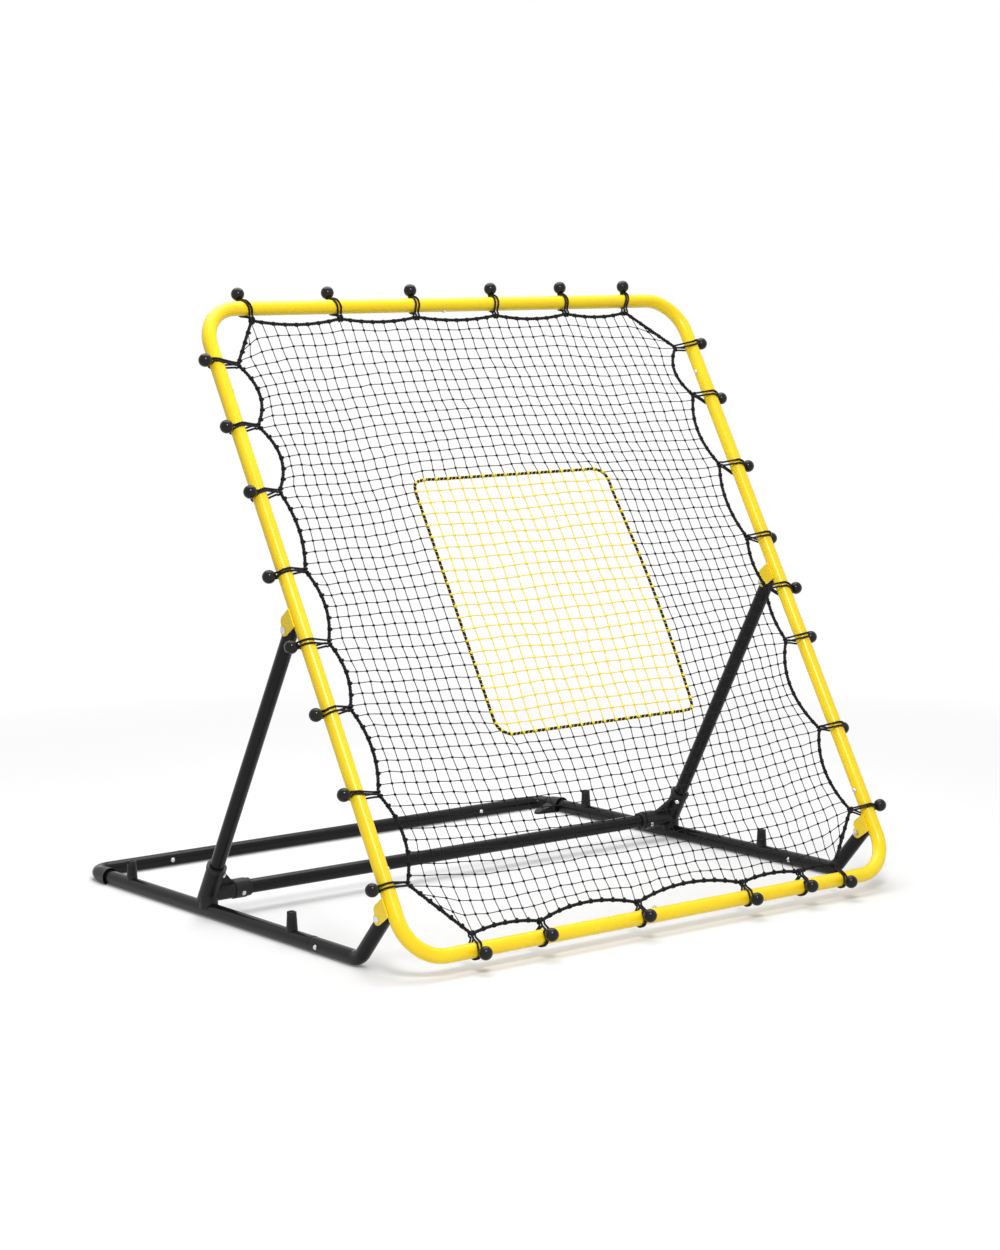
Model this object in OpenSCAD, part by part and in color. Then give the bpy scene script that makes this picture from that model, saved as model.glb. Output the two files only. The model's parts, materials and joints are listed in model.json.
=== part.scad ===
// Pitch back rebounder: a leaning net frame on a floor base, held up by a prop frame.
// +X is the player's right, +Y runs to the rear, +Z is up. The frame leans back.
// Places on the net frame are given as u (along X), v (up the frame) and n (behind it).

/* [Net frame] */
// Distance between the centre lines of the two side tubes
frame_w = 1197; // [900:1:1400]
// Distance between the centre lines of the bottom and top tubes
frame_h = 1320; // [1100:1:1600]
// Lean of the frame back from upright, in degrees
lean = 30; // [22:1:36]
// Outer diameter of every frame tube
tube_d = 28.6; // [24:0.1:32]
// Wall of every tube
tube_wall = 1.5; // [1.2:0.1:2]
// Bend radius of the four frame corners, to the centre line
frame_bend_r = 80; // [60:1:110]
// Height of the bottom tube's centre line above the floor
bottom_z = 38; // [34:1:60]
// Distance from a corner to the seam on a side tube
side_seam = 200; // [180:1:300]

/* [Tube joints] */
// Length of the reduced tube end that slides into the next tube
swage_len = 50; // [30:1:60]
// Radial play of a reduced end inside the next tube
swage_play = 0.2; // [0.1:0.05:0.3]
// Distance from a seam to its screw
screw_inset = 25; // [15:1:35]
// Diameter of the screw shanks
screw_d = 5; // [4:0.1:6]
// Diameter of the screw heads
screw_head_d = 10; // [8:0.1:12]

/* [Hinges] */
// Distance of the hinge bolts behind the frame's centre plane
hinge_n = 34; // [33:1:40]
// Height of the lower hinge bolts up the frame
lower_hinge_v = 96; // [90:1:120]
// Height of the upper hinge bolts up the frame
upper_hinge_v = 664; // [560:1:760]
// Diameter of the hinge bolts
bolt_d = 8; // [6:0.5:10]
// Radial play of a tube turning on its bolt
bolt_play = 0.05; // [0.02:0.01:0.1]
// Thickness of the bracket plates
ear_t = 3; // [2:0.5:4]
// Radius of the bracket plates around the bolt
ear_r = 11; // [10:0.5:13]
// Gap between a tube and the bracket plates beside it
ear_gap = 0.6; // [0.4:0.1:1.5]
// Length of a hinged tube past its bolt
hinge_tip = 10; // [8:0.5:12]

/* [Base] */
// Outer diameter of the base and prop tubes
base_d = 28.6; // [24:0.1:32]
// Distance of the rear bar behind the bottom tube, between centre lines
base_depth = 1136; // [1080:1:1300]
// Slope of the front elbows above the floor, in degrees
elbow_slope = 48; // [40:1:60]
// Bend radius of the front elbows
elbow_bend_r = 42; // [38:1:55]
// Length of an elbow along the floor, from its bend's corner to the rail
elbow_flat = 148; // [110:1:180]
// Bend radius of the rear corners
rear_bend_r = 40; // [36:1:60]
// Distance from a rail to the seam of the rear bar
rear_seam = 212; // [150:1:280]
// Length of the moulded collars at the rear corners
collar_len = 38; // [30:1:45]
// Outer radius of a collar at its open mouth
collar_r = 19.5; // [19:0.1:21]
// Reach of a collar's toe from the rail toward the middle of the base
toe_reach = 64; // [40:1:80]
// Height of a toe where it leaves the collar
toe_h = 19; // [12:1:24]

/* [Pegs] */
// Distance of the middle pegs behind the bottom tube
peg_y = 675; // [640:1:700]
// Distance from one peg to the next along a rail
peg_pitch = 295; // [260:1:320]
// Height of a peg above its rail
peg_h = 34; // [28:1:38]
// Radius of a peg at the rail
peg_foot_r = 11; // [9:0.1:11.5]
// Radius of a peg at its top
peg_top_r = 9; // [7:0.1:9.5]

/* [Prop] */
// Height of the cross bar's centre line above the floor
cross_z = 47; // [46:1:56]
// Outer radius of the moulded sockets
socket_r = 18.5; // [17.5:0.1:20]
// Length of the strut socket above the cross bar's centre line
strut_socket = 68; // [60:1:80]
// Length of the cross bar's socket from the strut's centre line
cross_socket = 92; // [80:1:110]
// Gap around a peg inside its foot
peg_gap = 1; // [0.6:0.1:2]
// Gap between a foot and its rail
foot_gap = 0.3; // [0.2:0.1:0.6]

/* [Net] */
// Diameter of the rope around the net
rope_d = 7; // [5:0.5:9]
// Thickness of the netting
net_t = 1.5; // [1:0.1:2]
// Distance of the rope from the side tubes' centre lines at a tie
side_gap = 46; // [42:1:60]
// Distance of the rope from the top tube's centre line at a tie
top_gap = 27; // [26:1:40]
// Distance of the rope from the bottom tube's centre line at a tie
bottom_gap = 30; // [26:1:40]
// Sag of the rope between two side ties
side_dip = 30; // [0:1:45]
// Sag of the rope between two top ties
top_dip = 10; // [0:1:20]
// Sag of the rope between two bottom ties
bottom_dip = 17; // [0:1:25]
// Width of the strike zone
zone_w = 480; // [380:1:600]
// Height of the strike zone
zone_h = 530; // [420:1:700]
// Corner radius of the strike zone
zone_r = 14; // [5:1:30]
// Width of the strike zone's hem
hem_w = 9; // [6:0.5:14]

/* [Ties] */
// Diameter of the elastic cords
cord_d = 3.5; // [2.5:0.1:4.5]
// Distance between the two strands of a tie
strand_gap = 8; // [6:0.5:12]
// Diameter of the balls
ball_d = 26; // [20:0.5:30]
// Distance from the frame's corners that the side ties keep
tie_margin = 100; // [90:1:110]

/* [Hidden] */
$fn = 64;

// The ties are tied by hand, unevenly. Each is [how far along its tube, how far its ball is
// turned toward the front, in degrees]. Side ties count from 0 to 1 between the margins, going
// up, and top and bottom ties are shares of the frame's width from its middle.
LEFT_TIES = [[0.037, 0], [0.198, 12], [0.340, 2], [0.465, -19],
    [0.591, -14], [0.737, 28], [0.861, 19], [0.987, 19]];
RIGHT_TIES = [[0.030, 15], [0.191, -21], [0.374, -11], [0.471, 7],
    [0.581, -20], [0.729, 0], [0.876, -6], [0.994, -2]];
TOP_TIES = [[-0.419, 0], [-0.245, 0], [-0.080, 10], [0.088, 15], [0.241, 15], [0.383, 20]];
BOTTOM_TIES = [[-0.381, 60], [-0.253, 78], [-0.056, 78], [0.170, 64], [0.293, 72], [0.382, 60]];

tube_r = tube_d / 2;
base_r = base_d / 2;
bend_ease = 0.05;
screw_play = 0.1;
// Gap under the heads of the screws, bolts and nuts
seat_gap = 0.1;
rail_z = base_r + bend_ease;
side_x = frame_w / 2;
ball_r = ball_d / 2;
rope_r = rope_d / 2;
ball_reach = tube_r + cord_d + ball_r + 0.8;
join = 0.01;
// How far a cut runs past what it cuts
over = 1;
// Length of the shoulder where a tube narrows
neck = 3;

// The whole object is centred front to back between its foremost balls and its rear bar
front_reach = ball_reach + ball_r;
rear_reach = base_depth + base_r;
bottom_y = (front_reach - rear_reach) / 2;

// World place of a point on the leaning frame
function frame_y(v, n) = bottom_y + v * sin(lean) + n * cos(lean);
function frame_z(v, n) = bottom_z + v * cos(lean) - n * sin(lean);
lower_y = frame_y(lower_hinge_v, hinge_n);
lower_z = frame_z(lower_hinge_v, hinge_n);
upper_y = frame_y(upper_hinge_v, hinge_n);
upper_z = frame_z(upper_hinge_v, hinge_n);

elbow_y = lower_y + (lower_z - rail_z) / tan(elbow_slope);
rail_front_y = elbow_y + elbow_flat;
rear_y = bottom_y + base_depth;
rail_rear_y = rear_y - rear_bend_r - collar_len / 2;
foot_y = bottom_y + peg_y;
rail_top = rail_z + base_r;
PEG_PLACES = [foot_y - peg_pitch, foot_y, foot_y + peg_pitch];
stem_r = 4;
seam_x = side_x - rear_seam;

strut_run = foot_y - upper_y;
strut_rise = upper_z - cross_z;
strut_tilt = atan2(strut_run, strut_rise);
strut_len = sqrt(strut_run * strut_run + strut_rise * strut_rise);
peg_roof = rail_top + peg_h + 2;
roof_t = 7;
strut_end = (peg_roof + roof_t - cross_z + base_r * sin(strut_tilt)) / cos(strut_tilt);

// The sockets' rims, and how far from a rail's middle the cross bar ends
rim = 1.5;
rim_len = 8;
cross_r = socket_r - 0.4;
cross_end = socket_r + 6;
end_gap = 0.5;

ear_x = base_r + ear_gap;
bolt_r = bolt_d / 2;
hole_r = bolt_r + bolt_play;

module in_frame() {
    translate([0, bottom_y, bottom_z]) rotate([-lean, 0, 0]) children();
}

// A round bar from the origin along +Z
module bar(r, length) {
    cylinder(r = r, h = length);
}

// A straight tube along +Z, with reduced ends of the given lengths below and above it
module straight_tube(d, length, low = 0, high = 0) {
    inner_r = d / 2 - tube_wall;
    swage_r = inner_r - swage_play;
    bore_low = low > 0 ? neck : -over;
    bore_high = high > 0 ? neck : -over;
    difference() {
        union() {
            bar(d / 2, length);
            if (low > 0) translate([0, 0, -low]) bar(swage_r, low + tube_wall);
            if (high > 0) translate([0, 0, length - tube_wall]) bar(swage_r, high + tube_wall);
        }
        translate([0, 0, -low - over]) bar(swage_r - tube_wall, length + low + high + 2 * over);
        translate([0, 0, bore_low]) bar(inner_r, length - bore_low - bore_high);
    }
}

// A bent bar: up +Z for leg_a, round a bend of the given angle toward +X, then on for leg_b.
// The bend is a hair thicker than the legs, which end a little inside it.
module bent_bar(r, leg_a, leg_b, bend_r, angle, grow = 0) {
    into = 1.5;
    translate([0, 0, -grow]) bar(r, leg_a + grow + into);
    translate([bend_r, 0, leg_a]) {
        rotate([90, 0, 180]) rotate_extrude(angle = angle) translate([bend_r, 0]) circle(r = r + bend_ease);
        rotate([0, angle, 0]) translate([-bend_r, 0, -into]) bar(r, leg_b + grow + into);
    }
}

module bent_tube(d, leg_a, leg_b, bend_r, angle) {
    difference() {
        bent_bar(d / 2, leg_a, leg_b, bend_r, angle);
        bent_bar(d / 2 - tube_wall, leg_a, leg_b, bend_r, angle, over);
    }
}

// The reduced end that a bent tube carries past its leg_a end
module swaged_stub(d) {
    swage_r = d / 2 - tube_wall - swage_play;
    difference() {
        translate([0, 0, -swage_len]) bar(swage_r, swage_len + neck);
        translate([0, 0, -swage_len - over]) bar(swage_r - tube_wall, swage_len + neck + 2 * over);
    }
    difference() {
        bar(d / 2 - tube_wall / 2, neck);
        translate([0, 0, -over]) bar(swage_r - tube_wall / 2, neck + 2 * over);
    }
}

// A hole for a screw through the wall, from the origin along +Z
module screw_hole() {
    cylinder(r = screw_d / 2 + screw_play, h = tube_d, $fn = 24);
}

// A domed screw whose head sits on a tube wall of radius r; the origin is on the tube's axis
module screw(r) {
    seat = r + seat_gap;
    head_r = screw_head_d / 2;
    rim_h = 1.2;
    dome_h = 1.8;
    shank = 8;
    color("silver") {
        translate([0, 0, r - shank]) cylinder(r = screw_d / 2, h = shank + 0.5, $fn = 24);
        translate([0, 0, seat]) cylinder(r = head_r, h = rim_h, $fn = 32);
        translate([0, 0, seat + rim_h]) cylinder(r1 = head_r, r2 = 0.62 * head_r, h = dome_h, $fn = 32);
    }
}

// ---- Net frame tubes, drawn on the frame's plane: X is u and Z is v ----

// One corner: side is -1 for left and 1 for right, top is 1 at the top of the frame
module frame_corner(side, top) {
    leg_side = side_seam - frame_bend_r;
    leg_end = frame_w / 2 - frame_bend_r;
    color("gold") in_frame() translate([0, 0, top * frame_h]) mirror([0, 0, top]) {
        difference() {
            union() {
                rotate([0, side * 90, 0]) rotate([0, 0, side > 0 ? 180 : 0])
                    bent_tube(tube_d, leg_end, leg_side, frame_bend_r, 90);
                if (side > 0) rotate([0, 90, 0]) swaged_stub(tube_d);
            }
            // Side seam screw, on the inner face of the side tube
            translate([side * side_x, 0, side_seam - screw_inset]) rotate([0, -side * 90, 0]) screw_hole();
            // Middle screw, on the inner face of the end tube
            translate([-screw_inset, 0, 0]) screw_hole();
        }
    }
}

module side_tube(side) {
    color("gold") in_frame() translate([side * side_x, 0, 0]) difference() {
        translate([0, 0, side_seam]) straight_tube(tube_d, frame_h - 2 * side_seam, swage_len, swage_len);
        for (v = [side_seam - screw_inset, frame_h - side_seam + screw_inset])
            translate([0, 0, v]) rotate([0, -side * 90, 0]) screw_hole();
    }
}

module frame_screws() {
    in_frame() {
        for (side = [-1, 1])
            for (v = [side_seam - screw_inset, frame_h - side_seam + screw_inset])
                translate([side * side_x, 0, v]) rotate([0, -side * 90, 0]) screw(tube_r);
        translate([-screw_inset, 0, 0]) screw(tube_r);
        translate([-screw_inset, 0, frame_h]) rotate([180, 0, 0]) screw(tube_r);
    }
}

// ---- Hinges ----

// A welded bracket: two plates beside the hinged tube, and a web against the side tube
module bracket(side, v) {
    rise = 28;
    heel = 8;
    // The middle of each plate's upper shoulder
    shoulder = [hinge_n - 11, 12];
    shoulder_r = ear_r + 2;
    web_low = hinge_tip + base_r - 8;
    weld_gap = 0.15;
    color("gold") in_frame() translate([side * side_x, 0, v]) difference() {
        union() {
            for (face = [-1, 1])
                translate([face * (ear_x + ear_t / 2) - ear_t / 2, 0, 0]) rotate([90, 0, 90])
                    linear_extrude(ear_t) union() {
                        translate([hinge_n, 0]) circle(r = ear_r);
                        translate(shoulder) circle(r = shoulder_r);
                        polygon([[0, -heel], [hinge_n, -ear_r], [hinge_n, 0],
                            shoulder + [0, shoulder_r], [0, rise]]);
                    }
            translate([-ear_x - join, tube_r + 2 * weld_gap, web_low])
                cube([2 * (ear_x + join), ear_t, rise - web_low - ear_t]);
        }
        translate([-ear_x - ear_t - over, hinge_n, 0]) rotate([0, 90, 0])
            cylinder(r = hole_r, h = 2 * (ear_x + ear_t + over));
        translate([0, 0, -heel - over]) bar(tube_r + weld_gap, heel + rise + 2 * over);
    }
}

// A domed bolt through both plates, with its head on the outer face
module hinge_bolt(side, v) {
    outer = ear_x + ear_t;
    head_r = bolt_r + 3;
    rim_h = 1.6;
    dome_h = 2.6;
    past = 6;
    color("silver") in_frame() translate([side * side_x, hinge_n, v]) rotate([0, side * 90, 0]) {
        translate([0, 0, -outer - past]) bar(bolt_r, 2 * outer + past + join);
        translate([0, 0, outer + seat_gap]) cylinder(r = head_r, h = rim_h);
        translate([0, 0, outer + seat_gap + rim_h]) cylinder(r1 = head_r, r2 = bolt_r, h = dome_h);
    }
}

// A domed nut on the inner end of that bolt
module hinge_nut(side, v) {
    outer = ear_x + ear_t;
    hex_h = 4;
    cap_h = 8.5;
    thread_h = 6.2;
    color("silver") in_frame() translate([side * side_x, hinge_n, v]) rotate([0, -side * 90, 0])
        translate([0, 0, outer + seat_gap]) difference() {
            union() {
                cylinder(r = bolt_r + 2.5, h = hex_h, $fn = 6);
                cylinder(r1 = bolt_r + 2, r2 = bolt_r - 0.5, h = cap_h);
            }
            translate([0, 0, -over]) bar(hole_r, over + thread_h);
        }
}

// ---- Base ----

module rail(side) {
    length = rail_rear_y - rail_front_y;
    color("dimgray") translate([side * side_x, rail_front_y, rail_z]) difference() {
        rotate([-90, 0, 0]) straight_tube(base_d, length, swage_len, collar_len / 2 - over);
        for (y = PEG_PLACES) translate([0, y - rail_front_y, 0]) cylinder(r = stem_r + 0.2, h = base_d);
        translate([0, -screw_inset, 0]) rotate([0, -90, 0]) screw_hole();
    }
}

// The front elbow climbs from the rail to the lower hinge bolt
module elbow(side) {
    bend_leg = elbow_bend_r * tan(elbow_slope / 2);
    climb = (lower_z - rail_z) / sin(elbow_slope);
    color("dimgray") difference() {
        translate([side * side_x, rail_front_y, rail_z]) rotate([90, 0, 0]) rotate([0, 0, 90])
            bent_tube(base_d, elbow_flat - bend_leg, climb - bend_leg + hinge_tip,
                elbow_bend_r, elbow_slope);
        translate([side * side_x - base_d, lower_y, lower_z]) rotate([0, 90, 0])
            cylinder(r = hole_r, h = 2 * base_d);
        translate([side * side_x, rail_front_y - screw_inset, rail_z]) rotate([0, -90, 0]) screw_hole();
    }
}

module rear_bar() {
    color("dimgray") difference() {
        translate([-seam_x, rear_y, rail_z]) rotate([0, 90, 0])
            straight_tube(base_d, 2 * seam_x, swage_len, swage_len);
        for (side = [-1, 1])
            translate([side * (seam_x + screw_inset), rear_y, rail_z]) rotate([90, 0, 0]) screw_hole();
    }
}

module rear_corner(side) {
    leg_bar = rear_seam - rear_bend_r;
    leg_rail = rear_y - rear_bend_r - rail_rear_y;
    color("dimgray") difference() {
        translate([side * seam_x, rear_y, rail_z]) rotate([0, side * 90, 0])
            rotate([0, 0, -90]) bent_tube(base_d, leg_bar, leg_rail, rear_bend_r, 90);
        translate([side * (seam_x + screw_inset), rear_y, rail_z]) rotate([90, 0, 0]) screw_hole();
    }
}

// A moulded sleeve over the seam of a rail, widening to its mouth, with a flat sole and a toe
module collar(side) {
    back_r = base_r + 1.8;
    bore = base_r + 0.15;
    lip = 8;
    lip_wall = 1.5;
    toe_tip = 4;
    color("black") translate([side * side_x, rear_y - rear_bend_r, rail_z]) rotate([90, 0, 0]) difference() {
        union() {
            cylinder(r1 = back_r, r2 = collar_r, h = collar_len);
            intersection() {
                translate([0, -rail_z, 0]) linear_extrude(collar_len) polygon([[0, 0],
                    [-side * toe_reach, 0], [-side * toe_reach, toe_tip], [-side * base_r, toe_h], [0, toe_h]]);
                translate([0, -rail_z, collar_len / 2]) rotate([-90, 0, 0]) toe_plan(side);
            }
        }
        translate([0, 0, -over]) bar(bore, collar_len + 2 * over);
        translate([0, 0, collar_len - lip]) cylinder(r1 = bore, r2 = collar_r - lip_wall, h = lip + join);
        translate([-collar_r - over, -rail_z - collar_r, -over])
            cube([2 * (collar_r + over), collar_r, collar_len + 2 * over]);
    }
}

// The toe's outline from above: as wide as the collar at the rail, round at its tip
module toe_plan(side) {
    tip_r = collar_len / 4;
    linear_extrude(toe_h) {
        polygon([[0, -collar_len / 2], [0, collar_len / 2],
            [-side * (toe_reach - tip_r), tip_r], [-side * (toe_reach - tip_r), -tip_r]]);
        translate([-side * (toe_reach - tip_r), 0]) circle(r = tip_r);
    }
}

// A tapered post on the rail, with a notch across its top and a stem in the rail's hole
module peg(side, y) {
    notch = 5;
    stem_len = 7;
    floor_t = 6;
    wall = 3.5;
    top = rail_top + peg_h;
    // The taper runs on down to the rail's axis, where the saddle cuts it off
    root_r = peg_foot_r + base_r * (peg_foot_r - peg_top_r) / peg_h;
    color("black") translate([side * side_x, y, 0]) difference() {
        union() {
            translate([0, 0, rail_z]) difference() {
                cylinder(r1 = root_r, r2 = peg_top_r, h = base_r + peg_h);
                rotate([90, 0, 0]) translate([0, 0, -root_r - over]) bar(base_r + 0.1, 2 * (root_r + over));
            }
            translate([0, 0, rail_top - stem_len]) bar(stem_r, stem_len + over);
        }
        translate([-peg_foot_r, -notch / 2, top - notch]) cube([2 * peg_foot_r, notch, notch + over]);
        translate([0, 0, rail_top + floor_t]) bar(peg_top_r - wall, peg_h);
    }
}

module peg_pair(y) {
    for (side = [-1, 1]) peg(side, y);
}

module base_screws() {
    for (side = [-1, 1]) {
        translate([side * side_x, rail_front_y - screw_inset, rail_z]) rotate([0, -90, 0]) screw(base_r);
        translate([side * (seam_x + screw_inset), rear_y, rail_z]) rotate([90, 0, 0]) screw(base_r);
    }
}

// ---- Prop frame ----

// Places children on a strut's axis: the origin is at the cross bar and +Z runs up the strut
module on_strut(side) {
    translate([side * side_x, foot_y, cross_z]) rotate([strut_tilt, 0, 0]) children();
}

module strut(side) {
    color("dimgray") difference() {
        on_strut(side) translate([0, 0, strut_end])
            straight_tube(base_d, strut_len - strut_end + hinge_tip);
        translate([side * side_x - base_d, upper_y, upper_z]) rotate([0, 90, 0])
            cylinder(r = hole_r, h = 2 * base_d);
        strut_screw_place(side) screw_hole();
    }
}

// The strut's screw faces the cross bar and the front
module strut_screw_place(side) {
    on_strut(side) translate([0, 0, strut_socket - 2 * rim_len]) rotate([0, 0, side > 0 ? 225 : -45])
        rotate([0, 90, 0]) children();
}

// The cross bar's screw sits low on the front of its socket
module cross_screw_place(side) {
    translate([side * (side_x - cross_socket + 22), foot_y, cross_z]) rotate([110, 0, 0]) children();
}

module cross_bar() {
    reach = side_x - cross_end;
    color("dimgray") difference() {
        translate([-reach, foot_y, cross_z]) rotate([0, 90, 0]) straight_tube(base_d, 2 * reach);
        for (side = [-1, 1]) cross_screw_place(side) screw_hole();
    }
}

// The moulded corner: a strut socket, a cross bar socket, a web between them and a foot
module junction(side) {
    bore = base_r + 0.1;
    slot = peg_foot_r + peg_gap;
    lip_z = rail_top - 11;
    web_t = 7;
    web_out = cross_socket - 36;
    web_top = strut_socket - 10;
    step_len = 28;
    step_in = 38;
    clear = 60;
    color("black") difference() {
        union() {
            on_strut(side) translate([0, 0, -socket_r]) bar(socket_r, strut_socket + socket_r);
            on_strut(side) translate([0, 0, strut_socket - rim_len]) bar(socket_r + rim, rim_len);
            translate([side * side_x, foot_y, lip_z]) bar(socket_r, cross_z - lip_z);
            translate([side * side_x, foot_y, cross_z]) rotate([0, -side * 90, 0]) {
                bar(cross_r, cross_socket);
                translate([0, 0, cross_socket - step_in]) bar(cross_r + rim, step_len);
            }
            on_strut(side) rotate([90, 0, 0]) translate([0, 0, -web_t / 2]) linear_extrude(web_t)
                polygon([[0, 0], [-side * web_out, 0], [-side * web_out, base_r],
                    [-side * base_r, web_top], [0, web_top]]);
        }
        on_strut(side) translate([0, 0, strut_end - end_gap]) bar(bore, strut_socket);
        translate([side * (side_x - cross_end + end_gap), foot_y, cross_z]) rotate([0, -side * 90, 0])
            bar(bore, cross_socket);
        // The rail passes below, and the peg stands in a cup that is open to the rear
        translate([side * side_x, foot_y - clear, rail_z]) rotate([-90, 0, 0])
            bar(base_r + foot_gap, 2 * clear);
        translate([side * side_x, foot_y, 0]) bar(slot, peg_roof);
        translate([side * side_x - slot, foot_y, 0]) cube([2 * slot, 3 * socket_r, peg_roof]);
        translate([side * side_x - clear, foot_y - clear, 0]) cube([2 * clear, 2 * clear, lip_z]);
        strut_screw_place(side) screw_hole();
        cross_screw_place(side) screw_hole();
    }
}

module prop_screws() {
    for (side = [-1, 1]) {
        strut_screw_place(side) screw(socket_r);
        cross_screw_place(side) screw(cross_r + rim);
    }
}

// ---- Net ----

net_gap = 0.4;
zone_gap = 0.3;
hem_t = 4;
rope_u = side_x - side_gap;
rope_top = frame_h - top_gap;

// The tie points, anticlockwise from the lower left
function side_v(tie) = tie_margin + tie[0] * (frame_h - 2 * tie_margin);
function side_ties(ties, u) = [for (tie = ties) [u, side_v(tie)]];
function end_ties(ties, v) = [for (tie = ties) [tie[0] * frame_w, v]];
function backwards(list) = [for (i = [len(list) - 1:-1:0]) list[i]];
TIES = concat(
    end_ties(BOTTOM_TIES, bottom_gap),
    side_ties(RIGHT_TIES, rope_u),
    backwards(end_ties(TOP_TIES, rope_top)),
    backwards(side_ties(LEFT_TIES, -rope_u)));

// How far the rope sags inward between two ties: not at all across a corner
function end_dip(v) = v == rope_top ? top_dip : bottom_dip;
function sag(a, b) = a[0] == b[0] ? side_dip : a[1] == b[1] ? end_dip(a[1]) : 0;
function inward(a, b) = [-(b[1] - a[1]), b[0] - a[0]] / norm(b - a);
EDGE = [for (i = [0:len(TIES) - 1]) let (a = TIES[i], b = TIES[(i + 1) % len(TIES)])
    for (k = [0:4]) let (t = k / 5) a + (b - a) * t + inward(a, b) * sag(a, b) * 4 * t * (1 - t)];

// The edge moved inward by a distance
function inset(d) = [for (i = [0:len(EDGE) - 1])
    let (last = EDGE[(i + len(EDGE) - 1) % len(EDGE)], next = EDGE[(i + 1) % len(EDGE)])
    EDGE[i] + inward(last, next) * d];

// A plate on the frame's plane between two depths behind it
module plate(n_front, thickness) {
    in_frame() translate([0, n_front + thickness, 0]) rotate([90, 0, 0])
        linear_extrude(thickness) children();
}

module net_panel() {
    color("black") plate(-net_t / 2, net_t) polygon(inset(rope_r + net_gap));
}

module border_rope() {
    color("black") plate(-rope_r, rope_d) difference() {
        polygon(inset(-rope_r));
        polygon(inset(rope_r));
    }
}

// A rectangle with round corners around the middle of the frame
module rounded(w, h, r) {
    for (x = [-1, 1]) for (y = [-1, 1]) translate([x * (w / 2 - r), y * (h / 2 - r)]) circle(r = r);
    square([w - 2 * r, h], center = true);
    square([w, h - 2 * r], center = true);
}

module strike_zone() {
    inner = 2 * (hem_w + zone_gap);
    color("yellow") plate(-1.5 * net_t - zone_gap, net_t) translate([0, frame_h / 2])
        rounded(zone_w - inner, zone_h - inner, zone_r);
}

module zone_hem() {
    color("black") plate(-net_t / 2 - zone_gap - hem_t, hem_t) translate([0, frame_h / 2]) difference() {
        rounded(zone_w, zone_h, zone_r + hem_w);
        rounded(zone_w - 2 * hem_w, zone_h - 2 * hem_w, zone_r);
    }
}

// ---- Ties: an elastic loop round the tube from the rope, with a ball outside it ----

// Outline of a drop: an arc of radius r round the origin and one of radius tip at (reach, 0)
function drop(r, tip, reach) = let (a = acos((r - tip) / reach)) concat(
    [for (k = [0:18]) let (t = a + (360 - 2 * a) * k / 18) r * [cos(t), sin(t)]],
    [for (k = [0:6]) let (t = -a + 2 * a * k / 6) [reach, 0] + tip * [cos(t), sin(t)]]);

// Drawn round a tube that runs along +Z, with the rope on the +X side
module elastic(gap) {
    band = strand_gap + cord_d;
    tip = cord_d / 2 + 0.6;
    inner = tube_r + 0.3;
    outer = inner + cord_d;
    reach = gap - rope_r - 0.3 - tip;
    color("black") translate([0, 0, -band / 2]) linear_extrude(band) difference() {
        polygon(drop(outer, tip, max(reach, outer - tip + 0.5)));
        circle(r = inner);
    }
}

// A tie's ball, turned about the tube from straight outward toward the front
module ball(turn) {
    color("black") rotate([0, 0, turn]) translate([-ball_reach, 0, 0]) sphere(r = ball_r);
}

// Places children on a tube at a tie, with +X toward the net and +Z along the tube
module on_left(tie) {
    in_frame() translate([-side_x, 0, side_v(tie)]) children();
}
module on_right(tie) {
    in_frame() translate([side_x, 0, side_v(tie)]) mirror([1, 0, 0]) children();
}
module on_top(tie) {
    in_frame() translate([tie[0] * frame_w, 0, frame_h]) rotate([0, 90, 0]) children();
}
module on_bottom(tie) {
    in_frame() translate([tie[0] * frame_w, 0, 0]) rotate([0, -90, 0]) children();
}

frame_corner(-1, 0);  // bottom_left_corner
frame_corner(1, 0);  // bottom_right_corner
frame_corner(-1, 1);  // top_left_corner
frame_corner(1, 1);  // top_right_corner
side_tube(-1);  // left_side_tube
side_tube(1);  // right_side_tube
frame_screws();
bracket(-1, upper_hinge_v);  // upper_left_bracket
bracket(1, upper_hinge_v);  // upper_right_bracket
bracket(-1, lower_hinge_v);  // lower_left_bracket
bracket(1, lower_hinge_v);  // lower_right_bracket
for (side = [-1, 1]) hinge_bolt(side, upper_hinge_v);  // upper_hinge_bolts
for (side = [-1, 1]) hinge_nut(side, upper_hinge_v);  // upper_hinge_nuts
for (side = [-1, 1]) hinge_bolt(side, lower_hinge_v);  // lower_hinge_bolts
for (side = [-1, 1]) hinge_nut(side, lower_hinge_v);  // lower_hinge_nuts
strut(-1);  // left_strut
strut(1);  // right_strut
junction(-1);  // left_junction
junction(1);  // right_junction
cross_bar();
prop_screws();
rail(-1);  // left_rail
rail(1);  // right_rail
elbow(-1);  // left_elbow
elbow(1);  // right_elbow
rear_bar();
rear_corner(-1);  // left_rear_corner
rear_corner(1);  // right_rear_corner
collar(-1);  // left_collar
collar(1);  // right_collar
peg_pair(foot_y - peg_pitch);  // front_pegs
peg_pair(foot_y);  // middle_pegs
peg_pair(foot_y + peg_pitch);  // rear_pegs
base_screws();
net_panel();
border_rope();
strike_zone();
zone_hem();
for (tie = TOP_TIES) on_top(tie) elastic(top_gap);  // top_elastics
for (tie = BOTTOM_TIES) on_bottom(tie) elastic(bottom_gap);  // bottom_elastics
for (tie = LEFT_TIES) on_left(tie) elastic(side_gap);  // left_elastics
for (tie = RIGHT_TIES) on_right(tie) elastic(side_gap);  // right_elastics
for (tie = TOP_TIES) on_top(tie) ball(tie[1]);  // top_balls
for (tie = BOTTOM_TIES) on_bottom(tie) ball(tie[1]);  // bottom_balls
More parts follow.
